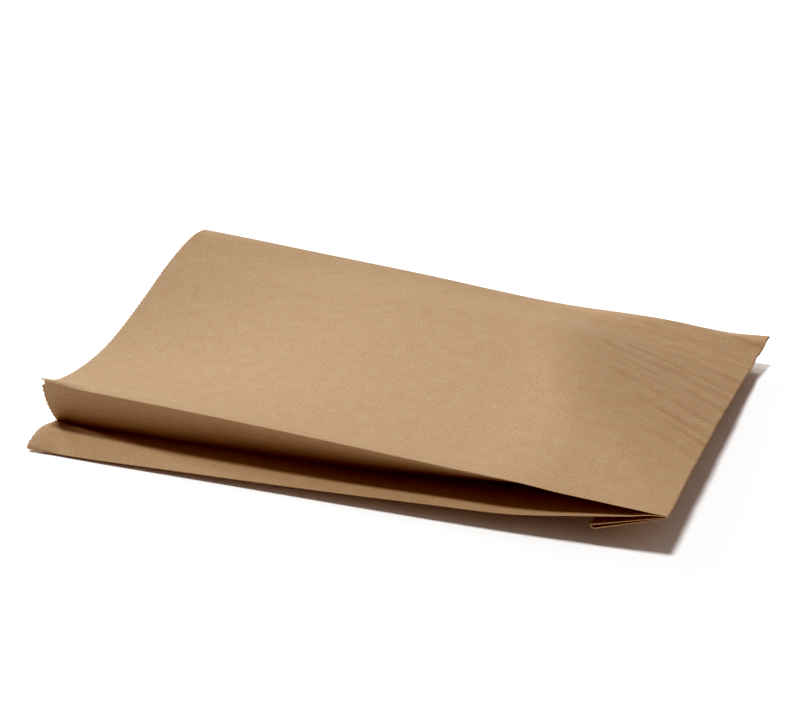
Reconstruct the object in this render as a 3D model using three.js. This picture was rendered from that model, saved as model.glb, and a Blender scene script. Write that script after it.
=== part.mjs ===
// A side-gusset bag of brown kraft paper, empty and lying on its bottom panel.
//
// X runs along the bag from its open mouth to the end that is folded under, Y from the front
// gusset to the back one, and Z up. One sheet makes the whole bag: a top panel, a back gusset
// folded inwards, a bottom panel and a front gusset, glued into a tube. The tube's far end is
// pressed flat, glued and folded under once as a flap. The flap springs open a little, which
// holds that end of the bag off the table.
//
// The sheet is drawn as a chain of closed sections. Each section is the sheet's middle line
// across the bag. Half a thickness outwards gives the outside skin, half a thickness inwards
// the inside one.
import * as THREE from 'three';

const { lerp, smoothstep, clamp } = THREE.MathUtils;

// ---- The flat bag, in millimetres ----
const LENGTH = 300; // from the mouth to the end fold
const WIDTH = 200;
const GUSSET = 30; // depth of each side gusset, half its width
const FLAP = 34; // the end that is folded under
const SHEET = 0.3; // thickness of the wall
const LAYER = 0.45; // from one pressed layer to the next
const STACK = 3 * LAYER; // top panel to bottom panel where the bag is pressed flat

// ---- How the empty bag has settled, seen along its length ----
const FRONT_INSET = 16; // the front top fold stands this far in from the bottom one at the mouth
const FRONT_INSET_ENDS = 250; // and is straight above it from here on
const FRONT_INSET_FADE = 1.3;
const BACK_SPREAD = 9; // the back top fold leans out past the bottom one at the mouth
const END_AT = 298.3; // the end fold's place, a little short of LENGTH as the bag bends
const EAR_OUT = 2.9; // the back corner of the end fold stands out this far
const EAR_FROM = 180; // measured across the bag

// ---- The top panel ----
const ROLL_FADE = 7; // the sag at the mouth runs out evenly, but the roll at its back much sooner
const ROLL_FROM = 0.7; // shares of the width over which the sag turns into the roll
const ROLL_TO = 0.95;
const CROWN = 10.5; // height of the panel above a straight line between its folds
const CROWN_FULL = 200; // along the bag
const END_FRONT_HEIGHT = 18.9; // top of the end fold at the front corner
const RIDGE_ROUNDING = 2.5; // height over which the ridge is rounded
const RIDGE_SHARPENS = 50; // on this last length it sharpens to meet the end fold
const SHARPEST = 0.01;
const FRONT_LIP = 0.12; // shares of the width over which the panel leaves its two folds
const BACK_LIP = 0.05;

// ---- The bottom panel and the flap ----
const FLAT_UNTIL = 150; // the bottom panel lies on the table up to here
const RISE_BEND = 1.4; // and then rises to the end fold, in a curve of this power
const FRONT_LIFT_REACH = 70; // its front edge is lifted over this width
const END_FOLLOWED_FROM = 283; // and from here on it follows the end fold
const FLAP_FRONT_HEIGHT = 7.9; // of the flap's free edge at the front corner
const FLAP_TOUCHES_AT = 165; // across the bag, where the flap comes down to the table
const FLAP_SKEW = 1.2; // the flap stands this far out at the front of its free edge
const FLAP_OPENING = 0.3; // its layers are spread by this share at the free edge

// ---- The gussets ----
const MOUTH_PUFF = 2.8; // the lower front gusset panel is puffed up at the mouth
const MOUTH_PUFF_ENDS = 80;
const GUSSET_BOW = 1.8; // the upper front gusset panel bows out at the mouth
const GUSSET_BOW_ENDS = 110;
const SOFT_FOLD = 2.6; // the front bottom fold is this thick at the mouth
const SOFT_FOLD_ENDS = 18;
const LIP = 1.9; // a lip of the top panel stands up from the front top fold at the mouth
const LIP_ENDS = 22;
const BACK_ROLL = 4; // the back top fold is this thick at the mouth
const BACK_ROLL_ENDS = 80;
const PRESSED_FROM = 284; // from here the gussets' layers are glued together
const PRESSED_GROOVE = 3; // and only this much of the groove between them shows
const CAVITY_ENDS = 290; // the inside of the bag ends here

// ---- How finely the bag is drawn ----
const BODY_STEPS = 24; // along the part of the bag that is open inside
const PRESSED_STEPS = 2; // from there to the end fold
const BEND_STEPS = 5;
const FLAP_STEPS = 3;
const TOP_STEPS = 18;
const BOTTOM_STEPS = 12;
const GUSSET_STEPS = 4;
const FOLD_STEPS = 3;

// A smooth curve through a few points [place, value].
function curve(points) {
  const slopes = points.map((point, i) => {
    const before = points[Math.max(i - 1, 0)];
    const after = points[Math.min(i + 1, points.length - 1)];
    return (after[1] - before[1]) / (after[0] - before[0]);
  });
  return (place) => {
    const found = points.findIndex((point, i) => i > 0 && place <= point[0]);
    const i = found < 0 ? points.length - 1 : found;
    const [from, to] = [points[i - 1], points[i]];
    const span = to[0] - from[0];
    const s = clamp((place - from[0]) / span, 0, 1);
    const start = (1 + 2 * s) * (1 - s) ** 2 * from[1] + s * (1 - s) ** 2 * span * slopes[i - 1];
    const end = s ** 2 * (3 - 2 * s) * to[1] - s ** 2 * (1 - s) * span * slopes[i];
    return start + end;
  };
}

// The lower of two heights, with the corner between them rounded over a given height.
function roundedMinimum(a, b, rounding) {
  const near = Math.max(rounding - Math.abs(a - b), 0) / rounding;
  return Math.min(a, b) - (near ** 2 * rounding) / 4;
}

// ---- The long folds and the two ends of the top panel ----
const frontFoldHeight = curve([
  [0, 26.7], [40, 26], [100, 25.2], [200, 23.3], [235, 22.9], [262, 21.3], [LENGTH, END_FRONT_HEIGHT],
]);
const backFoldHeight = curve([
  [0, 27.2], [20, 26.3], [60, 24.1], [120, 20.8], [190, 16.2], [245, 16.2], [280, 14.3], [LENGTH, 15.5],
]);
const bottomFoldHeight = curve([
  [0, 0.9], [30, 1.4], [60, 2.3], [100, 3.5], [150, 5.4],
  [200, 7.7], [226, 8.8], [240, 10.2], [262, 13.3], [LENGTH, 17.6],
]);
// The front bottom fold bows out a little between the mouth and the end.
const bottomFoldPlace = curve([
  [0, -1.2], [25, -2.3], [100, -2.6], [170, -3.1], [230, -3.1], [262, -2.1], [LENGTH, 0],
]);
const mouthSag = curve([
  [0, 0], [0.04, -2.3], [0.1, -6.8], [0.22, -11], [0.34, -12.3], [0.45, -10.6],
  [0.6, -5.7], [0.75, 0], [0.88, 2.5], [0.96, 1.9], [1, 0],
]);
const endHeight = curve([
  [0, END_FRONT_HEIGHT], [40, 18.8], [100, 16.9], [130, 15],
  [158, 12.5], [180, 10.8], [189, 12.6], [WIDTH, 15.5],
]);
// Slope of the top panel from its ridge to the end fold, across the bag.
const endSlope = curve([
  [0, 0.071], [50, 0.124], [100, 0.152], [150, 0.149], [170, 0.115], [190, 0.06], [WIDTH, 0.042],
]);
// The crown across the bag, as a share of its height. It is highest towards the back.
const crownAcross = curve([
  [0, 0], [0.1, 0.16], [0.2, 0.38], [0.3, 0.61], [0.4, 0.82], [0.5, 0.96],
  [0.6, 1], [0.7, 0.91], [0.8, 0.69], [0.9, 0.34], [0.95, 0.14], [1, 0],
]);

function frontFoldPlace(along) {
  return FRONT_INSET * Math.max(1 - (along / FRONT_INSET_ENDS) ** FRONT_INSET_FADE, 0);
}

function backFoldPlace(along) {
  return WIDTH + BACK_SPREAD * (1 - along / LENGTH);
}

// The end fold's place along the bag.
function endPlace(across) {
  return END_AT + EAR_OUT * smoothstep(across, EAR_FROM, WIDTH);
}

// Height of the top panel, where share runs from its front fold (0) to its back fold (1).
// It sags at the mouth, is a little crowned in the middle, and falls away to the end fold
// from a curved ridge that runs from the front corner to the back fold.
function topHeight(along, share) {
  const fade = lerp(1, ROLL_FADE, smoothstep(share, ROLL_FROM, ROLL_TO));
  const sag = mouthSag(share) * (1 - along / LENGTH) ** fade;
  const crown = CROWN * crownAcross(share) * smoothstep(along, 0, CROWN_FULL);
  const slack = lerp(frontFoldHeight(along), backFoldHeight(along), share) + sag;
  const level = slack + crown;
  const fall = endHeight(share * WIDTH) + endSlope(share * WIDTH) * (LENGTH - along);
  const inside = smoothstep(share, 0, FRONT_LIP) * smoothstep(1 - share, 0, BACK_LIP);
  const rounding = RIDGE_ROUNDING * clamp((LENGTH - along) / RIDGE_SHARPENS, SHARPEST, 1);
  const atFold = Math.min(level, Math.max(fall, slack));
  return lerp(atFold, roundedMinimum(level, fall, rounding), inside);
}

// Height of the bottom panel. It lies flat up to FLAT_UNTIL, then rises to the end fold.
function bottomHeight(along, across) {
  const rest = SHEET / 2;
  const edge = Math.max(1 - across / FRONT_LIFT_REACH, 0) ** 2;
  const rise = Math.max((along - FLAT_UNTIL) / (LENGTH - FLAT_UNTIL), 0) ** RISE_BEND;
  const end = topHeight(LENGTH, across / WIDTH) - STACK;
  const front = lerp(bottomFoldHeight(along), end, smoothstep(along, END_FOLLOWED_FROM, LENGTH));
  return rest + (front - rest) * edge + (end - rest) * rise * (1 - edge);
}

// The crease of a gusset, where its two panels of equal width meet. inward is 1 for the
// front gusset and -1 for the back one.
function crease(topFold, bottomFold, inward) {
  const middle = topFold.clone().add(bottomFold).multiplyScalar(0.5);
  const half = topFold.clone().sub(bottomFold).multiplyScalar(0.5);
  const depth = Math.sqrt(GUSSET ** 2 - half.lengthSq());
  const away = new THREE.Vector2(half.y, -half.x).setLength(depth * inward);
  return middle.add(away);
}

// Points of one gusset panel, bowed out sideways by bow in its middle.
function panel(from, to, bow) {
  const side = new THREE.Vector2(from.y - to.y, to.x - from.x).normalize();
  return Array.from({ length: GUSSET_STEPS + 1 }, (_, i) => {
    const share = i / GUSSET_STEPS;
    return from.clone().lerp(to, share).addScaledVector(side, bow * Math.sin(Math.PI * share));
  });
}

// Points inside a fold from one layer to the next, bulging to -Y or +Y.
function fold(from, to, bulge) {
  const middle = from.clone().add(to).multiplyScalar(0.5);
  const radius = from.distanceTo(to) / 2;
  const upwards = Math.sign(to.y - from.y);
  return Array.from({ length: FOLD_STEPS - 1 }, (_, i) => {
    const turn = (Math.PI * (i + 1)) / FOLD_STEPS;
    const out = bulge * radius * Math.sin(turn);
    return new THREE.Vector2(middle.x + out, middle.y - upwards * radius * Math.cos(turn));
  });
}

// Height of a drawn line of points at a place across the bag, or of its nearer end beyond it.
function heightOn(line, across) {
  const found = line.findIndex((point, i) => i > 0 && (point.x - across) * (line[i - 1].x - across) <= 0);
  if (found < 0) {
    const [first, last] = [line[0], line[line.length - 1]];
    return Math.abs(first.x - across) < Math.abs(last.x - across) ? first.y : last.y;
  }
  const [from, to] = [line[found - 1], line[found]];
  return lerp(from.y, to.y, (across - from.x) / (to.x - from.x));
}

// The sheet's middle line across the bag as points (across, height). It goes along the top
// panel to the back, in and out of the back gusset, along the bottom panel to the front, and
// in and out of the front gusset.
function section(along) {
  const top = Array.from({ length: TOP_STEPS + 1 }, (_, i) => {
    const share = i / TOP_STEPS;
    const across = lerp(frontFoldPlace(along), backFoldPlace(along), share);
    return new THREE.Vector2(across, topHeight(along, share));
  });
  const lip = LIP * (1 - smoothstep(along, 0, LIP_ENDS));
  top[0].y += lip;
  const bottom = Array.from({ length: BOTTOM_STEPS + 1 }, (_, i) => {
    const across = WIDTH * (1 - i / BOTTOM_STEPS);
    const bowed = bottomFoldPlace(along) * Math.max(1 - across / FRONT_LIFT_REACH, 0) ** 2;
    return new THREE.Vector2(across + bowed, bottomHeight(along, across));
  });
  const [topFront, topBack] = [top[0], top[TOP_STEPS]];
  const [bottomBack, bottomFront] = [bottom[0], bottom[BOTTOM_STEPS]];
  const pressed = smoothstep(along, PRESSED_FROM, LENGTH);
  // A gusset's layers stay between the two big panels, with layers of the sheet below and above.
  const between = (point, below, above) => {
    const lowest = heightOn(bottom, point.x) + below * LAYER;
    const highest = heightOn(top, point.x) - above * LAYER;
    return new THREE.Vector2(point.x, Math.max(Math.min(point.y, highest), lowest));
  };
  const gusset = (topFold, bottomFold, inward, topGap, bottomGap, upperBow, lowerBow) => {
    const meeting = crease(topFold, bottomFold, inward);
    meeting.x = lerp(meeting.x, bottomFold.x + inward * PRESSED_GROOVE, pressed);
    const tip = between(meeting, 1.5, 1.5);
    const half = new THREE.Vector2(0, LAYER / 2);
    const upperStart = new THREE.Vector2(topFold.x, topFold.y - topGap);
    const lowerEnd = new THREE.Vector2(bottomFold.x, bottomFold.y + bottomGap);
    const upper = panel(upperStart, tip.clone().add(half), upperBow);
    const lower = panel(tip.clone().sub(half), lowerEnd, lowerBow);
    const above = upper.map((point) => between(point, 2, 1));
    const below = lower.map((point) => between(point, 1, 2));
    return [...above, ...fold(above[GUSSET_STEPS], below[0], inward), ...below];
  };
  const puff = MOUTH_PUFF * (1 - smoothstep(along, 0, MOUTH_PUFF_ENDS));
  const bow = GUSSET_BOW * (1 - smoothstep(along, 0, GUSSET_BOW_ENDS));
  const soft = lerp(SOFT_FOLD, LAYER, smoothstep(along, 0, SOFT_FOLD_ENDS));
  const roll = lerp(BACK_ROLL, LAYER, smoothstep(along, 0, BACK_ROLL_ENDS));
  const back = gusset(topBack, bottomBack, -1, roll, LAYER, 0, 0);
  const front = gusset(topFront, bottomFront, 1, LAYER + lip, soft, -bow, -puff).reverse();
  return [
    ...top,
    ...fold(topBack, back[0], 1),
    ...back,
    ...fold(back[back.length - 1], bottomBack, 1),
    ...bottom,
    ...fold(bottomFront, front[0], -1),
    ...front,
    ...fold(front[front.length - 1], topFront, -1),
  ];
}

// The loop of points moved sideways by distance, to its left as it runs.
function offset(loop, distance) {
  return loop.map((point, i) => {
    const before = loop[(i + loop.length - 1) % loop.length];
    const after = loop[(i + 1) % loop.length];
    const run = point.clone().sub(before).normalize().add(after.clone().sub(point).normalize()).normalize();
    return new THREE.Vector2(point.x - run.y * distance, point.y + run.x * distance);
  });
}

// ---- From a section to its place in the bag ----
function bodyPlace(along) {
  return ({ x: across, y: height }) => {
    const x = (along / LENGTH) * endPlace(clamp(across, 0, WIDTH));
    return new THREE.Vector3(x, across, height);
  };
}

// The last section, turned under by a share of the end bend and then run along the flap.
function flapPlace(turned, run) {
  return ({ x: across, y: height }) => {
    const y = clamp(across, 0, WIDTH);
    const endBottom = bottomHeight(LENGTH, y);
    const pivotHeight = endBottom - LAYER / 2;
    const tipHeight = FLAP_FRONT_HEIGHT * Math.max(1 - y / FLAP_TOUCHES_AT, 0);
    const underside = pivotHeight - LAYER / 2 - STACK * (1 + FLAP_OPENING) - SHEET / 2;
    const droop = Math.asin(clamp((underside - tipHeight) / FLAP, 0, 1));
    const angle = turned * (Math.PI - droop);
    const spread = 1 + FLAP_OPENING * run;
    const radius = LAYER / 2 + (height - endBottom) * spread;
    const x = endPlace(y) + radius * Math.sin(angle) - run * FLAP * Math.cos(droop);
    const z = pivotHeight + radius * Math.cos(angle) - run * FLAP * Math.sin(droop);
    return new THREE.Vector3(x, across - FLAP_SKEW * run, z);
  };
}

// ---- The closed solid ----
function bagGeometry() {
  const stations = [];
  const addBody = (from, to, steps) => {
    for (let i = 1; i <= steps; i += 1) {
      const along = lerp(from, to, i / steps);
      stations.push({ loop: section(along), place: bodyPlace(along) });
    }
  };
  stations.push({ loop: section(0), place: bodyPlace(0) });
  addBody(0, CAVITY_ENDS, BODY_STEPS);
  const cavityStations = stations.length;
  addBody(CAVITY_ENDS, LENGTH, PRESSED_STEPS);
  const pressedEnd = section(LENGTH);
  for (let i = 1; i <= BEND_STEPS; i += 1) {
    stations.push({ loop: pressedEnd, place: flapPlace(i / BEND_STEPS, 0) });
  }
  for (let i = 1; i <= FLAP_STEPS; i += 1) {
    stations.push({ loop: pressedEnd, place: flapPlace(1, i / FLAP_STEPS) });
  }
  const count = pressedEnd.length;
  const positions = [];
  const triangles = [];

  // One skin as rows of points. Returns the first index of each row.
  const addSkin = (rows, distance) =>
    rows.map(({ loop, place }) => {
      const first = positions.length / 3;
      offset(loop, distance).forEach((point) => positions.push(...place(point).toArray()));
      return first;
    });
  // Two triangles between the pairs (a, b) and (d, c), facing away from the loop's inside.
  const addQuad = (a, b, c, d) => triangles.push([a, d, c], [a, c, b]);
  // A flat end across one row, facing along the bag (1) or back to the mouth (-1).
  const addCap = (loop, first, facing) => {
    const faces = THREE.ShapeUtils.triangulateShape(loop, []);
    const turns = faces.map((face) => THREE.ShapeUtils.area(face.map((i) => loop[i])));
    const turn = Math.sign(turns.reduce((sum, area) => sum + area, 0));
    faces.forEach(([i, j, k]) => {
      const face = turn === facing ? [i, j, k] : [i, k, j];
      triangles.push(face.map((index) => first + index));
    });
  };

  const outside = addSkin(stations, SHEET / 2);
  const inside = addSkin(stations.slice(0, cavityStations), -SHEET / 2);
  for (let k = 0; k < count; k += 1) {
    const next = (k + 1) % count;
    for (let row = 0; row + 1 < outside.length; row += 1) {
      const [here, there] = [outside[row], outside[row + 1]];
      addQuad(here + k, here + next, there + next, there + k);
    }
    for (let row = 0; row + 1 < inside.length; row += 1) {
      const [here, there] = [inside[row], inside[row + 1]];
      addQuad(there + k, there + next, here + next, here + k);
    }
    addQuad(inside[0] + k, inside[0] + next, outside[0] + next, outside[0] + k);
  }
  addCap(offset(pressedEnd, SHEET / 2), outside[outside.length - 1], 1);
  addCap(offset(section(CAVITY_ENDS), -SHEET / 2), inside[inside.length - 1], -1);

  const geometry = new THREE.BufferGeometry();
  geometry.setAttribute('position', new THREE.Float32BufferAttribute(positions, 3));
  geometry.setIndex(triangles.flat());
  geometry.computeVertexNormals();
  return geometry;
}

// The origin is the middle of the bag's footprint, on the table.
function centred(geometry) {
  geometry.computeBoundingBox();
  const { min, max } = geometry.boundingBox;
  return geometry.translate(-(min.x + max.x) / 2, -(min.y + max.y) / 2, -min.z);
}

const kraftPaper = new THREE.MeshStandardMaterial({ color: 0xa88d70, roughness: 0.85, metalness: 0 });
const bag = new THREE.Mesh(centred(bagGeometry()), kraftPaper);
bag.name = 'paper_bag';

const group = new THREE.Group();
group.name = 'wedge_paper_bag';
group.add(bag);

export default group;
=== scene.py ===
# %% [markdown]
# # An empty paper bag
#
# The object is a side-gusset bag of brown kraft paper, the kind that bread or a takeaway meal is
# packed in. It is empty and lies on its bottom panel, as a low wedge. One sheet of paper makes all
# of it: the sheet is folded and glued into a tube, and the tube's far end is pressed flat, glued
# and folded under.
#
# A bag could be modelled as a box whose sides are pushed in, but paper hardly stretches, and such
# a box shows it. So this lesson works as the bag machine does. It starts from the flat sheet and
# folds it, and every point of the sheet keeps its place between the folds.

# %% The frame
import math

import bpy
import numpy as np
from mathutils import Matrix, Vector


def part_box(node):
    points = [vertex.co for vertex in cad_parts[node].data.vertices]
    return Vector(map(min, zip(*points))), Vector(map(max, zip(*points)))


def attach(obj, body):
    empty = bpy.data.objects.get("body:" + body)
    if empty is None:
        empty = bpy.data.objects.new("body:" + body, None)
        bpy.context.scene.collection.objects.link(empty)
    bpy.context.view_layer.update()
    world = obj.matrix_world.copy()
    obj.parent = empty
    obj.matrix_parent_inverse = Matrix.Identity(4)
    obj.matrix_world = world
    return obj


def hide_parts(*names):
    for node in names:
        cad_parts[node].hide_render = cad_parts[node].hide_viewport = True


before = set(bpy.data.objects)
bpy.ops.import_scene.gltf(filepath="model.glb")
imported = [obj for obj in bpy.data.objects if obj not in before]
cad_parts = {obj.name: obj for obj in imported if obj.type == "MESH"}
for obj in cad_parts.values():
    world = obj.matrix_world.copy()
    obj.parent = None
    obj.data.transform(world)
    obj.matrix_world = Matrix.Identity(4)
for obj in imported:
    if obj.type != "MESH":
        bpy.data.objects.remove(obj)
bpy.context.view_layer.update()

cad_low, cad_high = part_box("paper_bag")
print("The bag's box is", [round((b - a) * 1000, 1) for a, b in zip(cad_low, cad_high)], "mm")

# %% [markdown]
# ## Sizes
#
# Everything is worked out in millimetres from the flat bag's sizes, and turned into metres only
# when the paper is placed. X runs along the bag from its open mouth to the folded end, Y from the
# front gusset to the back one, and Z up.

# %% The flat bag, in millimetres
MM = 0.001
LENGTH = 300  # from the mouth to the end fold
WIDTH = 200
GUSSET = 30  # depth of each side gusset, half its width
FLAP = 34  # the end that is folded under
LAP = 15  # the glued seam that closes the tube, under the bag
LAP_AT = 96  # where the seam starts, from the front fold
SHEET = 0.12  # thickness of the paper
LAYER = 0.15  # from one pressed layer to the next
STACK = 3 * LAYER  # top panel to bottom panel where the bag is pressed flat

SHEET_WIDTH = 2 * WIDTH + 4 * GUSSET + LAP
SHEET_LENGTH = LENGTH + FLAP
print("The sheet is cut to", SHEET_WIDTH, "by", SHEET_LENGTH, "mm")

# %% [markdown]
# ## The shape of the folded bag
#
# A few smooth curves give the height of each long fold and of the two ends of the top panel. The
# panels are then stretched between the folds. The same curves could be drawn by hand as Bezier
# curves and lofted, but then the paper's own width would not be kept. As functions they can be
# asked for any point of the sheet.
#
# The top panel is a little crowned. At the far end all layers were pressed into one fold, so the
# panel comes down to that fold from a curved ridge. The back corner of this fold is bent up as a
# small ear.


# %% Small helpers
def lerp(a, b, share):
    return a + (b - a) * share


def smoothstep(value, start, end):
    share = np.clip((value - start) / (end - start), 0, 1)
    return share**2 * (3 - 2 * share)


def curve(points):
    """A smooth curve through a few points (place, value)."""
    place, value = np.array(points, dtype=float).T
    before = np.maximum(np.arange(len(place)) - 1, 0)
    after = np.minimum(np.arange(len(place)) + 1, len(place) - 1)
    slope = (value[after] - value[before]) / (place[after] - place[before])

    def at(x):
        i = np.clip(np.searchsorted(place, x), 1, len(place) - 1)
        span = place[i] - place[i - 1]
        s = np.clip((x - place[i - 1]) / span, 0, 1)
        start = (1 + 2 * s) * (1 - s) ** 2 * value[i - 1] + s * (1 - s) ** 2 * span * slope[i - 1]
        end = s**2 * (3 - 2 * s) * value[i] - s**2 * (1 - s) * span * slope[i]
        return start + end

    return at


def rounded_minimum(a, b, rounding):
    """The lower of two heights, with the corner between them rounded over a given height."""
    near = np.maximum(rounding - np.abs(a - b), 0) / rounding
    return np.minimum(a, b) - near**2 * rounding / 4


# %% The long folds
END_FRONT_HEIGHT = 18.9  # top of the end fold at the front corner
FRONT_INSET = 16  # the front top fold stands this far in from the bottom one at the mouth
FRONT_INSET_ENDS = 250  # and is straight above it from here on
FRONT_INSET_FADE = 1.3
BACK_SPREAD = 9  # the back top fold leans out past the bottom one at the mouth
# Along the bag, from the mouth: the heights of the two top folds, and how high and how far out
# of line the front bottom fold is.
front_fold_height = curve(
    [(0, 26.7), (40, 26), (100, 25.2), (200, 23.3), (235, 22.9), (262, 21.3)]
    + [(LENGTH, END_FRONT_HEIGHT)]
)
back_fold_height = curve(
    [(0, 27.2), (20, 26.3), (60, 24.1), (120, 20.8), (190, 16.2), (245, 16.2), (280, 14.3)]
    + [(LENGTH, 15.5)]
)
bottom_fold_height = curve(
    [(0, 0.9), (30, 1.4), (60, 2.3), (100, 3.5), (150, 5.4), (200, 7.7), (226, 8.8)]
    + [(240, 10.2), (262, 13.3), (LENGTH, 18.6)]
)
bottom_fold_place = curve(
    [(0, -1.2), (25, -2.3), (100, -2.6), (170, -3.1), (230, -3.1), (262, -2.1), (LENGTH, 0)]
)


def front_fold_place(along):
    return FRONT_INSET * max(1 - (along / FRONT_INSET_ENDS) ** FRONT_INSET_FADE, 0)


def back_fold_place(along):
    return WIDTH + BACK_SPREAD * (1 - along / LENGTH)


print("The front top fold is", float(front_fold_height(0)), "mm high at the mouth")

# %% The end fold
END_AT = 298.3  # the end fold's place, a little short of LENGTH as the bag bends
END_WAVE = 0.3  # the end fold is a little wavy, with long waves and short ones on them
END_WAVE_LONG = 17  # a wave is pi times as long as this
END_WAVE_SHORT = 7.3
EAR_KINK = 1.1  # the back corner of the end fold stands out, from a small kink
EAR_KINK_FROM = 183  # measured across the bag
EAR_KINK_TO = 188
EAR_OUT = 1.8  # and leans out this much further
# Across the bag in millimetres: the height of the end fold, and the slope down to it.
end_height = curve(
    [(0, END_FRONT_HEIGHT), (40, 18.8), (100, 16.9), (130, 15), (158, 12.5), (180, 10.8)]
    + [(189, 12.6), (WIDTH, 15.5)]
)
end_slope = curve(
    [(0, 0.071), (50, 0.124), (100, 0.152), (150, 0.149), (170, 0.115), (190, 0.06)]
    + [(WIDTH, 0.042)]
)


def end_place(across):
    """The end fold's place along the bag."""
    long_waves = np.abs(np.sin(across / END_WAVE_LONG + 0.6))
    short_waves = 0.6 * np.abs(np.sin(across / END_WAVE_SHORT))
    wave = END_WAVE * (long_waves + short_waves - 1)
    kink = EAR_KINK * smoothstep(across, EAR_KINK_FROM, EAR_KINK_TO)
    lean = EAR_OUT * np.clip((across - EAR_KINK_TO) / (WIDTH - EAR_KINK_TO), 0, 1)
    return END_AT + wave + kink + lean


print("The end fold's back corner is", round(float(end_place(WIDTH)), 1), "mm from the mouth")

# %% [markdown]
# ## Wrinkles
#
# Beyond the ridge the paper still carries the fine wrinkles that it got as the end was pressed and
# folded under. From the end fold they slant towards the mouth and the back, a few millimetres
# apart, and they are only a few tenths of a millimetre high. A noise texture could draw them as
# bump, but its lumps have no direction. Here two waves of different lengths cross the slant. Slow
# waves shift them and make them come and go, so that no two wrinkles are alike, and the mesh
# itself carries them.


# %% Wrinkles
WRINKLE = 0.36  # height of the wrinkles beyond the ridge
WRINKLE_WIDTH = 9.5
WRINKLE_SLANT_FRONT = 0.68  # how far they drift to the back for each millimetre to the mouth
WRINKLE_SLANT_BACK = 0.2


def wrinkles(along, across):
    """Wrinkles of the pressed paper, from -1 to 1. They slant more at the front."""
    slant = lerp(WRINKLE_SLANT_FRONT, WRINKLE_SLANT_BACK, (across / WIDTH) ** 2)
    place = across + slant * (along - LENGTH)
    drift = 1.6 * np.sin(0.19 * place + 0.02 * along) + 0.9 * np.sin(0.083 * place + 1)
    wave = 0.6 * np.sin(2 * np.pi * place / WRINKLE_WIDTH + drift)
    wave += 0.4 * np.sin(3.2 * np.pi * place / WRINKLE_WIDTH - 1.3 * drift)
    come_and_go = np.sin(0.24 * along + 0.55 * place) * np.sin(0.08 * along + 0.23 * place + 1)
    return (0.55 + 0.45 * come_and_go) * wave


print("The wrinkles are up to", WRINKLE, "mm high")

# %% The top panel's sag, crown and fall
ROLL_FADE = 7  # the sag at the mouth runs out evenly, but the roll at its back much sooner
ROLL_FROM = 0.7  # shares of the width between which the sag gives way to the roll
ROLL_TO = 0.95
CROWN = 10.5  # height of the top panel above a straight line between its folds
CROWN_FULL = 200  # along the bag
# Across the bag, from the front, as a share of the width: how far the top panel sags at the
# mouth, with its roll at the back, and its crown as a share of CROWN, highest towards the back.
mouth_sag = curve(
    [(0, 0), (0.04, -2.3), (0.1, -6.8), (0.22, -11), (0.34, -12.3), (0.45, -10.6), (0.6, -5.7)]
    + [(0.75, 0), (0.88, 2.5), (0.96, 1.9), (1, 0)]
)
crown_across = curve(
    [(0, 0), (0.1, 0.16), (0.2, 0.38), (0.3, 0.61), (0.4, 0.82), (0.5, 0.96), (0.6, 1)]
    + [(0.7, 0.91), (0.8, 0.69), (0.9, 0.34), (0.95, 0.14), (1, 0)]
)


def three_levels(along, share):
    """Heights of the top panel without its crown, with it, and where it falls to the end fold."""
    fade = lerp(1, ROLL_FADE, smoothstep(share, ROLL_FROM, ROLL_TO))
    sag = mouth_sag(share) * (1 - along / LENGTH) ** fade
    slack = lerp(front_fold_height(along), back_fold_height(along), share) + sag
    crown = CROWN * crown_across(share) * smoothstep(along, 0, CROWN_FULL)
    fall = end_height(share * WIDTH) + end_slope(share * WIDTH) * (LENGTH - along)
    return slack, slack + crown, fall


print("In the middle the crown is", round(float(CROWN * crown_across(0.5)), 1), "mm high")

# %% Height of the top panel
RIDGE_ROUNDING = 2.5  # height over which the ridge is rounded
RIDGE_SHARPENS = 50  # on this last length it sharpens to meet the end fold
SHARPEST = 0.01  # share of its rounding that is left there
FRONT_LIP = 0.12  # shares of the width over which the panel leaves its two folds
BACK_LIP = 0.05
WRINKLES_GROW = 8  # the wrinkles are full where the panel has fallen this far


def inside(share):
    """How far a point of the top panel is from its folds, from 0 on a fold to 1 clear of both."""
    return smoothstep(share, 0, FRONT_LIP) * smoothstep(1 - share, 0, BACK_LIP)


def crumpled(along, share):
    """How far the top panel is wrinkled, from 0 at its ridge to 1 well below it."""
    _, level, fall = three_levels(along, share)
    return smoothstep(level - fall, 0, WRINKLES_GROW) * inside(share)


def top_height(along, share):
    """Height of the top panel, where share runs from its front fold (0) to its back fold (1).

    It sags at the mouth, is a little crowned in the middle, and falls away to the end fold from a
    curved ridge that runs from the front corner to the back fold.
    """
    slack, level, fall = three_levels(along, share)
    rounding = RIDGE_ROUNDING * np.clip((LENGTH - along) / RIDGE_SHARPENS, SHARPEST, 1)
    wrinkle = WRINKLE * crumpled(along, share) * wrinkles(along, share * WIDTH)
    at_fold = np.minimum(level, np.maximum(fall, slack))
    return lerp(at_fold, rounded_minimum(level, fall, rounding), inside(share)) + wrinkle


lowest = top_height(0, np.linspace(0, 1, 50)).min()
print("The mouth is", round(float(lowest), 1), "mm high at its lowest")

# %% The bottom panel
FLAT_UNTIL = 150  # the bottom panel lies on the table up to here
RISE_BEND = 1.4  # and then rises to the end fold, in a curve of this power
FRONT_LIFT_REACH = 70  # its front edge is lifted over this width
END_FOLLOWED_FROM = 283  # and from here on it follows the end fold


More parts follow.
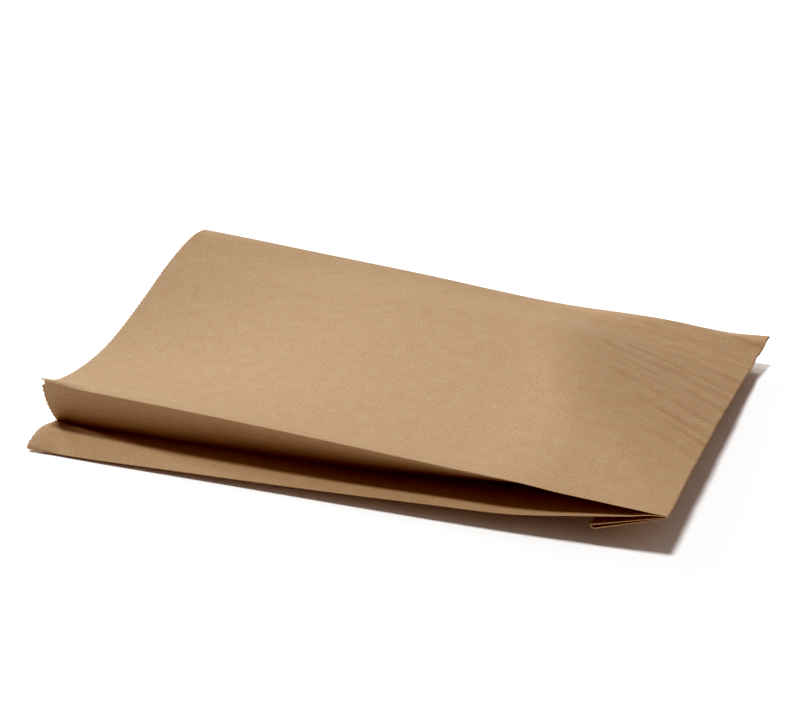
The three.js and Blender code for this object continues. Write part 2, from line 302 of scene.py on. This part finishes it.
def bottom_height(along, across):
    """Height of the bottom panel. It lies flat up to FLAT_UNTIL, then rises to the end fold."""
    rest = SHEET / 2
    edge = np.maximum(1 - across / FRONT_LIFT_REACH, 0) ** 2
    rise = max((along - FLAT_UNTIL) / (LENGTH - FLAT_UNTIL), 0) ** RISE_BEND
    end = top_height(LENGTH, np.clip(across / WIDTH, 0, 1)) - STACK
    front = lerp(bottom_fold_height(along), end, smoothstep(along, END_FOLLOWED_FROM, LENGTH))
    return rest + (front - rest) * edge + (end - rest) * rise * (1 - edge)


rise = float(bottom_height(LENGTH, WIDTH / 2))
print("The bottom panel's middle is", round(rise, 1), "mm up at the end fold")

# %% [markdown]
# ## A line across the sheet
#
# The sheet is wrapped round the bag: from the seam under the bottom panel to the front, in and out
# of the front gusset, over the top panel, in and out of the back gusset, and back to the seam. The
# columns of the mesh are spaced so that every tooth of the cut edge has its tip and its root, with
# one more column close to each fold, which keeps the fold crisp when the paper is shaded smooth.

# %% Columns of the sheet
TOOTH = WIDTH / 60  # from one tooth of the cut edge to the next
FOLD_STEPS = 4
BESIDE_FOLD = 0.4  # how close to a fold the next column is


def columns(width, to_a_fold=True):
    """Places across one panel, two for each tooth. They start at a fold."""
    steps = round(width / (TOOTH / 2))
    places = list(width * np.arange(steps + 1) / steps)
    places.insert(1, BESIDE_FOLD)
    if to_a_fold:
        places.insert(-1, width - BESIDE_FOLD)
    return np.array(places)


bottom_front = columns(LAP_AT + LAP, to_a_fold=False)[::-1]
bottom_back = WIDTH - columns(WIDTH - LAP_AT, to_a_fold=False)
side = columns(GUSSET) / GUSSET
top_shares = columns(WIDTH) / WIDTH
folded = np.full(FOLD_STEPS - 1, 0.0)

# Each column's place across the flattened tube, which gives its place on the row of teeth.
front_gusset = np.concatenate(
    [folded, side * GUSSET, folded + GUSSET, (1 - side) * GUSSET, folded]
)
back_gusset = WIDTH - front_gusset
flat_across = np.concatenate(
    [bottom_front, front_gusset, top_shares * WIDTH, back_gusset, bottom_back]
)
first_top = len(bottom_front) + len(front_gusset)  # the first column of the top panel
girth = np.concatenate([[0], np.cumsum(np.abs(np.diff(flat_across)))])
print("The sheet has", len(flat_across), "columns, over", round(float(girth[-1])), "mm")

# %% [markdown]
# ## The notch
#
# The cut is not quite straight. Just under the front top fold it stands back a little, and just
# above that fold it ends in a small tip. Both are shifts of a few columns along the bag, so they
# need no faces of their own.

# %% The notch in the cut
NOTCH = 1.9  # the cut stands back this far just under the front top fold
NOTCH_WIDTH = 1.4
TIP = 0.9  # and forward this far just above that fold

below = girth[first_top] - girth
notch_depth = np.where(np.arange(len(girth)) < first_top, NOTCH, -TIP)
notch = notch_depth * np.clip(1 - np.abs(below) / NOTCH_WIDTH, 0, 1)
print("The notch takes", int(np.count_nonzero(notch > 0)), "columns")

# %% [markdown]
# ## The gussets
#
# Each side of the bag is a gusset, a pleat of two panels that was pressed inwards along the crease
# between them. The front one has opened with the bag, and the back one still lies folded. Both
# panels keep their width, so in each section the crease lies where two circles round the top and
# the bottom fold meet. Where the bag is low, the gusset's layers are kept between the two big
# panels, or they would cut through them.


# %% Crease, panel and fold
def crease(top_fold, bottom_fold, inward):
    """Where the two panels of a gusset meet, both GUSSET wide."""
    middle, half = (top_fold + bottom_fold) / 2, (top_fold - bottom_fold) / 2
    away = np.array([half[1], -half[0]])
    depth = math.sqrt(GUSSET**2 - half @ half)
    return middle + away / np.linalg.norm(away) * depth * inward


def panel(start, end, bow, peak=1.0):
    """Points of one gusset panel, bowed sideways. A peak over 1 moves the bow towards its end."""
    run = end - start
    aside = np.array([-run[1], run[0]]) / np.linalg.norm(run)
    return start + side[:, None] * run + (bow * np.sin(np.pi * side**peak))[:, None] * aside


def fold(start, end, bulge):
    """Points inside a fold from one layer to the next, bulging to -Y or +Y."""
    middle, radius = (start + end) / 2, np.linalg.norm(end - start) / 2
    turn = np.pi * np.arange(1, FOLD_STEPS) / FOLD_STEPS
    upwards = math.copysign(1, end[1] - start[1])
    across = middle[0] + bulge * radius * np.sin(turn)
    return np.column_stack([across, middle[1] - upwards * radius * np.cos(turn)])


print("The crease is", round(float(crease(np.array([0, 25]), np.zeros(2), 1)[0]), 1), "mm deep")

# %% A section of the bag
GUSSET_BOW = 1.8  # the upper front gusset panel bows out at the mouth
GUSSET_BOW_ENDS = 110
MOUTH_PUFF = 2.8  # the lower front gusset panel is puffed up at the mouth
MOUTH_PUFF_ENDS = 80
PUFF_PEAK = 1.3  # over 1, so the puff is fullest towards the bottom fold
SOFT_FOLD = 2.6  # the front bottom fold is this thick at the mouth
SOFT_FOLD_ENDS = 18
LIP = 1.9  # at the front top fold a lip of the top panel stands up this far
LIP_ENDS = 22
LIP_WIDTH = 0.06  # share of the width
BACK_ROLL = 4.0  # the back top fold is a roll this thick at the mouth
BACK_ROLL_ENDS = 80


def section(along):
    """The sheet across the bag as points (across, height), in the order of flat_across."""
    across = lerp(front_fold_place(along), back_fold_place(along), top_shares)
    lip = LIP * (1 - smoothstep(along, 0, LIP_ENDS))
    top = np.column_stack([across, top_height(along, top_shares)])
    top[:, 1] += lip * (1 - smoothstep(top_shares, 0, LIP_WIDTH))
    front = np.column_stack([bottom_front, bottom_height(along, bottom_front)])
    edge = np.maximum(1 - bottom_front / FRONT_LIFT_REACH, 0) ** 2
    front[:, 0] += bottom_fold_place(along) * edge
    back = np.column_stack([bottom_back, bottom_height(along, bottom_back)])
    # Where the sheet's first edge laps over its last, it is one layer higher.
    lapped = smoothstep(bottom_front, LAP_AT - BESIDE_FOLD * 4, LAP_AT - BESIDE_FOLD)
    front[:, 1] += LAYER * lapped

    def between(points, below, above):
        """Keeps a gusset's points between the big panels, with some layers below and above."""
        lowest = bottom_height(along, points[:, 0]) + below * LAYER
        share = (points[:, 0] - across[0]) / (across[-1] - across[0])
        highest = top_height(along, np.clip(share, 0, 1)) - above * LAYER
        height = np.maximum(np.minimum(points[:, 1], highest), lowest)
        return np.column_stack([points[:, 0], height])

    def gusset(top_fold, bottom_fold, inward, top_gap, bottom_gap, upper_bow=0.0, lower_bow=0.0):
        meeting = between(crease(top_fold, bottom_fold, inward)[None], 1.5, 1.5)[0]
        layer = np.array([0, LAYER / 2])
        upper = panel(top_fold - [0, top_gap], meeting + layer, upper_bow)
        lower = panel(meeting - layer, bottom_fold + [0, bottom_gap], lower_bow, PUFF_PEAK)
        upper, lower = between(upper, 2, 1), between(lower, 1, 2)
        return upper, fold(upper[-1], lower[0], inward), lower

    bow = GUSSET_BOW * (1 - smoothstep(along, 0, GUSSET_BOW_ENDS))
    puff = MOUTH_PUFF * (1 - smoothstep(along, 0, MOUTH_PUFF_ENDS))
    soft = lerp(SOFT_FOLD, LAYER, smoothstep(along, 0, SOFT_FOLD_ENDS))
    roll = lerp(BACK_ROLL, LAYER, smoothstep(along, 0, BACK_ROLL_ENDS))
    f_upper, f_crease, f_lower = gusset(top[0], front[-1], 1, LAYER + lip, soft, -bow, -puff)
    b_upper, b_crease, b_lower = gusset(top[-1], back[0], -1, roll, LAYER)
    return np.concatenate(
        [front, fold(front[-1], f_lower[-1], -1), f_lower[::-1], f_crease[::-1], f_upper[::-1]]
        + [fold(f_upper[0], top[0], -1), top, fold(top[-1], b_upper[0], 1)]
        + [b_upper, b_crease, b_lower, fold(b_lower[-1], back[0], 1), back]
    )


print("A section at the mouth has", len(section(0)), "points")

# %% [markdown]
# ## From the section to the table
#
# Along the bag the sections follow each other. At the mouth the cut is a zigzag, left by the
# toothed knife that parts one bag from the next, with a small notch at the front top fold. At the
# end fold the pressed layers turn under together, as the leaves of a book do, and run back as the
# flap. The flap has sprung open, and it holds this end of the bag off the table.
#
# Blender's Simple Deform could bend the end under, but here each layer has its own radius and some
# layers have sprung apart. So a function places each row of the flap, as it does in the body.

# %% Rows of the sheet
ROW = 2.8  # from one row to the next. At the two cut edges and the end fold they are closer
FOLD_TURNS = 6  # rows inside the end fold
rows = np.concatenate(
    [
        [0, 0.7, 1.6, 3],
        np.linspace(5, LENGTH - 4, round((LENGTH - 9) / ROW)),
        [LENGTH - 2, LENGTH - BESIDE_FOLD, LENGTH],
        np.full(FOLD_TURNS, LENGTH),
        LENGTH + np.array([BESIDE_FOLD, 3, 7, 12, 17, 22, 26.5, 29.5, 31.5, 32.4, FLAP]),
    ]
)
first_turn = int(np.argmax(rows == LENGTH)) + 1
turned = np.clip((np.arange(len(rows)) - first_turn + 1) / FOLD_TURNS, 0, 1)
print("The sheet has", len(rows), "rows")


# %% The zigzag cut
TOOTH_DEPTH = 0.5
TEETH_FADE = 8  # the cut reaches this far into the sheet, where its zigzag has died out


def teeth(flat_across, fade):
    """How far the zigzag cut stands back from its tips."""
    phase = flat_across / TOOTH
    to_root = 1 - 2 * np.abs(phase - np.round(phase))
    uneven = 0.8 + 0.2 * np.sin(flat_across * 1.7) * np.cos(flat_across * 0.61)
    return TOOTH_DEPTH * uneven * to_root * fade


print("The cut stands back by up to", round(float(teeth(flat_across, 1).max()), 2), "mm")


# %% Rows of the body
def body_row(along):
    """One row of the sheet between the mouth and the end fold."""
    across, height = section(along).T
    x = along / LENGTH * end_place(np.clip(across, 0, WIDTH))
    x += (teeth(flat_across, 1) + notch) * max(1 - along / TEETH_FADE, 0)
    return np.column_stack([x, across, height])


print("At the mouth the front fold is at", body_row(0)[first_top].round(1), "mm")

# %% Rows of the flap
FLAP_FRONT_HEIGHT = 8.2  # of the flap's free edge at the front corner
FLAP_TOUCHES_AT = 165  # across the bag, where the flap comes down to the table
FLAP_SKEW = 1.7  # the flap stands this far out at the front of its free edge
FLAP_GAPE = 1.3  # the folds at the flap's front edge have sprung this far apart
FLAP_SHUT_FROM = 0.96  # share of the flap from which they close again to the cut
FLAP_FOLD = 0.4  # and each fold is a bead, this much thicker than its two layers
FLAP_FOLD_REACH = 8


def flap_row(turned, run):
    """The last section, turned under by a share of the end bend and then run along the flap."""
    across, height = section(LENGTH).T
    y = np.clip(across, 0, WIDTH)
    end_bottom = bottom_height(LENGTH, y)
    pivot_height = end_bottom - LAYER / 2
    # The layers are counted from 0, the bottom panel, to 3, the top one. The upper two have sprung
    # away from the lower two, from the gusset's crease out.
    level = (height - end_bottom) / LAYER
    from_fold = np.minimum(y, WIDTH - y)
    full_gape = FLAP_GAPE * np.maximum(1 - from_fold / GUSSET, 0)
    shut_at_cut = 1 - smoothstep(run, FLAP_SHUT_FROM, 1)
    gape = full_gape * run * smoothstep(level, 1.2, 1.8) * shut_at_cut
    # The fold within each pair is a small round bead at the flap's front edge.
    in_pairs = np.clip(level, 0, 1) + np.clip(level - 2, 0, 1)
    bead = FLAP_FOLD * run * np.maximum(1 - y / FLAP_FOLD_REACH, 0) * in_pairs
    radius = LAYER / 2 + level * LAYER + gape + bead
    # The flap droops until the outermost layer's edge is at its height over the table.
    edge_height = FLAP_FRONT_HEIGHT * np.maximum(1 - y / FLAP_TOUCHES_AT, 0)
    outermost = pivot_height - LAYER / 2 - STACK - full_gape - SHEET / 2
    droop = np.arcsin(np.clip((outermost - edge_height) / FLAP, 0, 1))
    angle = turned * (np.pi - droop)
    back = run * FLAP - teeth(flat_across, max(1 - (1 - run) * FLAP / TEETH_FADE, 0))
    x = end_place(y) + radius * np.sin(angle) - back * np.cos(droop)
    z = pivot_height + radius * np.cos(angle) - back * np.sin(droop)
    return np.column_stack([x, across - FLAP_SKEW * run, z])


print("The flap's front corner is at", flap_row(1, 1)[first_top].round(1), "mm")

# %% Placing the rows
placed = [body_row(along) for along in rows[:first_turn]]
for turn, along in zip(turned[first_turn:], rows[first_turn:]):
    placed.append(flap_row(turn, (along - LENGTH) / FLAP))
placed = np.array(placed)

# The sheet is moved so that its mouth and its back fold are where the frame's solid has them.
BACKMOST = 210.86  # how far back the solid reaches, measured as the sheet is here
in_frame = np.array([cad_low[0], cad_high[1], cad_low[2]]) / MM - [0, BACKMOST, 0]
placed += in_frame
for axis, places in zip("XYZ", placed.reshape(-1, 3).T):
    print(axis, "goes from", round(places.min(), 1), "to", round(places.max(), 1), "mm")

# %% [markdown]
# ## Folding the sheet
#
# The mesh is a flat grid, one face for each step along and across the sheet. Its UV map is laid
# out on the flat sheet, so the fibres of the paper will follow the folds. An attribute holds
# painted shade for the material to read: it is strongest in the valleys of the wrinkles, and only
# beyond the ridge, where the panel falls away from the light. Then each point moves to its place
# in the folded bag, and Solidify gives the paper its thickness, with closed edges.
#
# A cloth simulation could fold the sheet too. But it rounds such hard creases, and it would be
# slow to steer to the shape that the curves above give at once.

# %% The flat sheet
for selected in bpy.context.selected_objects:
    selected.select_set(False)
bpy.ops.mesh.primitive_grid_add(
    x_subdivisions=len(rows) - 1, y_subdivisions=len(flat_across) - 1, size=1, calc_uvs=True
)
bag = bpy.context.object
bag.name = "folded_paper_bag"
mesh = bag.data
points = np.empty(len(mesh.vertices) * 3)
mesh.vertices.foreach_get("co", points)
points = points.reshape(-1, 3)
row_of = np.rint((points[:, 0] + 0.5) * (len(rows) - 1)).astype(int)
column_of = np.rint((points[:, 1] + 0.5) * (len(flat_across) - 1)).astype(int)
print("The flat sheet has", len(mesh.polygons), "faces")

# %% The paper's own map, and painted shade for the wrinkles
SHADE_ALIKE_FROM = 0.92  # share of the width from which the painted shade stays alike up to the back fold

sheet_u = rows / SHEET_LENGTH
sheet_v = girth / girth[-1]
corners = np.empty(len(mesh.loops), dtype=int)
mesh.loops.foreach_get("vertex_index", corners)
paper_map = np.column_stack([sheet_u[row_of[corners]], sheet_v[column_of[corners]]])
mesh.uv_layers[0].name = "flat_sheet"
mesh.uv_layers[0].uv.foreach_set("vector", paper_map.astype(np.float32).ravel())
# Painted shade: darkest in the valleys of the wrinkles, and only where the top panel falls beyond
# the ridge.
painted_wrinkle_shade = np.zeros((len(rows), len(girth)))
for i, along in enumerate(rows):
    if along <= LENGTH:
        valleys = ((1 - wrinkles(along, top_shares * WIDTH)) / 2) ** 2
        shade_beyond_ridge = crumpled(along, np.minimum(top_shares, SHADE_ALIKE_FROM))
        painted_wrinkle_shade[i, first_top : first_top + len(top_shares)] = shade_beyond_ridge * valleys
shade_attribute = mesh.attributes.new("painted_wrinkle_shade", "FLOAT", "POINT")
shade_attribute.data.foreach_set("value", painted_wrinkle_shade[row_of, column_of].astype(np.float32))
print("The deepest crease is", round(float(painted_wrinkle_shade.max()), 2))

# %% Folded, and given its thickness
mesh.vertices.foreach_set("co", (placed[row_of, column_of] * MM).ravel())
mesh.update()
thickness = bag.modifiers.new("thickness", "SOLIDIFY")
thickness.thickness = SHEET * MM
thickness.offset = 0
bpy.ops.object.modifier_apply(modifier=thickness.name)
bpy.ops.object.shade_smooth_by_angle(angle=math.radians(60))
print("The folded bag has", len(bag.data.polygons), "faces")

# %% [markdown]
# ## Kraft paper
#
# Brown kraft paper is made from unbleached wood pulp, dried and pressed smooth on hot rollers. Its
# brown is the wood's own. The fibres clump while the pulp is wet, which gives a fine cloudy
# mottling, and here and there a bit of bark stays in as a dark speck. The surface is matt.
#
# Two noises make the mottling: fibres of about a millimetre, drawn out a little across the bag,
# and clouds of several millimetres. A Voronoi texture scatters the specks. Shade is painted into
# the colour in the valleys of the wrinkles and over the part of the top panel that falls away
# beyond the ridge, since the wrinkles' own bumps show only faintly from above. All patterns are
# laid on the flat sheet, in millimetres. Unlike a picture of paper, they have no seam and do not
# repeat.


# %% Colours and nodes
def colour(hex_value):
    """A linear colour from an sRGB hex value such as C49A6C."""
    channels = [int(hex_value[i : i + 2], 16) / 255 for i in (0, 2, 4)]
    return [c / 12.92 if c <= 0.04045 else ((c + 0.055) / 1.055) ** 2.4 for c in channels] + [1]


def node(tree, kind, settings, inputs):
    """Adds a node with its settings, and sets or links its inputs."""
    added = tree.nodes.new(kind)
    for name, value in settings.items():
        setattr(added, name, value)
    for name, value in inputs.items():
        if isinstance(value, bpy.types.NodeSocket):
            tree.links.new(value, added.inputs[name])
        else:
            added.inputs[name].default_value = value
    return added


# %% The paper: its map in millimetres, and its mottling
FIBRE = 1.2  # mm, a clump of fibres
STRETCH = 1.3  # how much longer the clumps are across the bag
CLOUD = 7.0  # mm, uneven pulp
CLOUD_SHARE = 0.2  # how strong the clouds are beside the fibres
DARKEST, LIGHTEST = 0.325, 0.875  # of the mottling, where its two colours are reached

paper = bpy.data.materials.new("unbleached_kraft_paper")
paper.use_nodes = True
tree = paper.node_tree
tree.nodes.clear()
flat = node(tree, "ShaderNodeUVMap", {"uv_map": "flat_sheet"}, {}).outputs["UV"]
in_mm = node(
    tree, "ShaderNodeMapping", {}, {"Vector": flat, "Scale": (SHEET_LENGTH, SHEET_WIDTH, 1)}
).outputs["Vector"]
drawn_out = node(
    tree, "ShaderNodeMapping", {}, {"Vector": in_mm, "Scale": (1, 1 / STRETCH, 1)}
).outputs["Vector"]
fibres = node(
    tree,
    "ShaderNodeTexNoise",
    {},
    {"Vector": drawn_out, "Scale": 1 / FIBRE, "Detail": 4.0, "Roughness": 0.75},
).outputs["Fac"]
clouds = node(
    tree,
    "ShaderNodeTexNoise",
    {},
    {"Vector": in_mm, "Scale": 1 / CLOUD, "Detail": 3.0, "Roughness": 0.35},
).outputs["Fac"]
mottle = node(
    tree, "ShaderNodeMath", {"operation": "MULTIPLY_ADD"}, {0: clouds, 1: CLOUD_SHARE, 2: fibres}
).outputs[0]
tone = node(tree, "ShaderNodeValToRGB", {}, {"Fac": mottle})
dark, light = tone.color_ramp.elements
dark.position, dark.color = DARKEST, colour("977D5D")
light.position, light.color = LIGHTEST, colour("AF9A83")
print("The mottling has fibres of", FIBRE, "mm and clouds of", CLOUD, "mm")

# %% Specks of bark
SPECK = 11.0  # mm, from one speck to the next
SPECK_SIZE = 0.45  # mm, from a speck's middle to where it has faded out
SPECK_DARKENS = 0.55  # share of the way to the colour of bark

specks = node(
    tree, "ShaderNodeTexVoronoi", {}, {"Vector": in_mm, "Scale": 1 / SPECK}
).outputs["Distance"]
is_speck = node(
    tree,
    "ShaderNodeMapRange",
    {},
    {
        "Value": specks,
        "From Min": 0.5 * SPECK_SIZE / SPECK,
        "From Max": SPECK_SIZE / SPECK,
        "To Min": SPECK_DARKENS,
        "To Max": 0.0,
    },
).outputs["Result"]
speckled = node(
    tree,
    "ShaderNodeMix",
    {"data_type": "RGBA"},
    {"Factor": is_speck, "A": tone.outputs["Color"], "B": colour("6E5238")},
).outputs["Result"]
print("The specks are", SPECK, "mm apart")

# %% Painted shade in the wrinkles
WRINKLE_SHADE = 0.48  # share of the way to the colour of the painted shade

# Painted shade: the paper is darkened towards 5A4228 in the valleys of the wrinkles beyond the
# ridge.
painted_shade_factor = node(tree, "ShaderNodeAttribute", {"attribute_name": "painted_wrinkle_shade"}, {}).outputs["Fac"]
painted_shade = node(
    tree, "ShaderNodeMath", {"operation": "MULTIPLY"}, {0: painted_shade_factor, 1: WRINKLE_SHADE}
).outputs[0]
paper_with_painted_shade = node(
    tree,
    "ShaderNodeMix",
    {"data_type": "RGBA"},
    {"Factor": painted_shade, "A": speckled, "B": colour("5A4228")},
).outputs["Result"]
print("The deepest crease goes", round(WRINKLE_SHADE * float(painted_wrinkle_shade.max()), 2), "of the way")

# %% The matt surface
FIBRE_HEIGHT = 0.06  # mm, of the fibres' bump

bump = node(
    tree,
    "ShaderNodeBump",
    {},
    {"Height": fibres, "Distance": FIBRE_HEIGHT * MM, "Strength": 0.35},
).outputs["Normal"]
shader = node(
    tree,
    "ShaderNodeBsdfPrincipled",
    {},
    {"Base Color": paper_with_painted_shade, "Roughness": 0.8, "IOR": 1.47, "Normal": bump},
).outputs["BSDF"]
node(tree, "ShaderNodeOutputMaterial", {}, {"Surface": shader})
bag.data.materials.clear()
bag.data.materials.append(paper)
print("The paper's material has", len(tree.nodes), "nodes")

# %% [markdown]
# ## Into the frame
#
# The frame's solid has a thicker wall and fewer faces, as suits its collisions. The folded sheet
# lies inside that wall and is shown in its place. It rides on the part's one body.

# %% The bag in the frame
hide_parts("paper_bag")
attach(bag, "root")
print("The folded sheet now stands for the frame's solid")

# %% [markdown]
# ## Table, light and camera
#
# The bag lies on a white board, as in a small product studio. Two soft lamps shine on it, one from
# above and one from behind, on the mouth's side. A narrow strip stands low before the mouth, and
# its raking light shows the crown and the ridge of the top panel. Sun lamps are used, since their
# light is the same wherever the bag lies, and their angle sets how soft the shadows are. A pale
# world fills the shadows. The camera looks down from the front with a long lens.

# %% A plain white table
bpy.ops.mesh.primitive_plane_add(size=30)
table = bpy.context.object
table.name = "table"
white = bpy.data.materials.new("matt_white_board")
white.use_nodes = True
board = white.node_tree.nodes["Principled BSDF"]
board.inputs["Base Color"].default_value = colour("FAFAFA")
board.inputs["Roughness"].default_value = 0.9
board.inputs["Specular IOR Level"].default_value = 0.0
table.data.materials.append(white)
print("The table is", round(table.dimensions.x), "m wide")


# %% Lights
def lamp(name, towards, strength, angle):
    """A far, soft lamp. towards is the direction from the bag to it, and angle its width."""
    data = bpy.data.lights.new(name, "SUN")
    data.energy = strength
    data.angle = math.radians(angle)
    made = bpy.data.objects.new(name, data)
    made.rotation_euler = Vector(towards).to_track_quat("Z", "Y").to_euler()
    bpy.context.scene.collection.objects.link(made)


lamp("overhead_softbox", (-0.13, -0.06, 1), 2.06, 13)
lamp("back_softbox", (-0.70, 0.59, 0.41), 1.5, 14)
lamp("side_strip", (-0.98, 0.17, 0.105), 3.7, 7)
world = bpy.data.worlds.new("studio")
bpy.context.scene.world = world
world.use_nodes = True
background = world.node_tree.nodes["Background"]
background.inputs["Color"].default_value = (1, 1, 1, 1)
background.inputs["Strength"].default_value = 0.225
print("The studio has", len(bpy.data.lights), "lamps")

# %% [markdown]
# ## Contrast
#
# Product pictures are developed with a firm contrast: the board is driven to clean white, and the
# deepest shade under the bag to black. The curves of the colour management do this for the whole
# view. Red, green and blue each have their own black, which makes the deep shade a warm brown.

# %% The camera's contrast
WHITE = 0.92  # display tones from here up show as white
BLACKS = (0.09, 0.145, 0.16)  # tones down to these show as black, in red, green and blue


def shown_as(light, black):
    """What a level of light is shown as, once the tones are spread from black to white."""
    tone = (1.055 * light ** (1 / 2.4) - 0.055 - black) / (WHITE - black)
    tone = min(max(tone, 0), 1)
    return ((tone + 0.055) / 1.055) ** 2.4 if tone > 0.04045 else tone / 12.92


LEVELS = (0.015, 0.03, 0.06, 0.12, 0.24, 0.45, 0.7, 0.868)  # of light, where the curves are set
view = bpy.context.scene.view_settings
view.view_transform = "Standard"
view.use_curve_mapping = True
for channel, black in zip(view.curve_mapping.curves, BLACKS):
    for light in LEVELS:
        channel.points.new(light, shown_as(light, black))
    for point in channel.points:
        point.handle_type = "AUTO_CLAMPED"
view.curve_mapping.update()
print("Half of full light is shown as", [round(shown_as(0.5, black), 2) for black in BLACKS])

# %% Camera
AZIMUTH, ELEVATION = 19.21, 25.56  # degrees to the right of the front, and upwards
DISTANCE = 1257.15  # mm
LOOK_AT = (125.47, 133.46, 0)  # mm from the mouth, from the front and from the table
LENS, SENSOR = 117.417, 36  # mm
SHIFT = (0.0148, 0.0119)  # shares of the picture's width

camera_data = bpy.data.cameras.new("camera")
camera_data.lens = LENS
camera_data.sensor_width = SENSOR
camera_data.sensor_fit = "HORIZONTAL"
camera_data.shift_x, camera_data.shift_y = SHIFT
camera = bpy.data.objects.new("camera", camera_data)
bpy.context.scene.collection.objects.link(camera)
a, e = math.radians(AZIMUTH), math.radians(ELEVATION)
to_camera = Vector((math.sin(a) * math.cos(e), -math.cos(a) * math.cos(e), math.sin(e)))
camera.location = Vector((in_frame + LOOK_AT) * MM) + to_camera * DISTANCE * MM
camera.rotation_euler = to_camera.to_track_quat("Z", "Y").to_euler()
bpy.context.scene.camera = camera
print("The camera is", round(camera.location.z, 2), "m above the table")
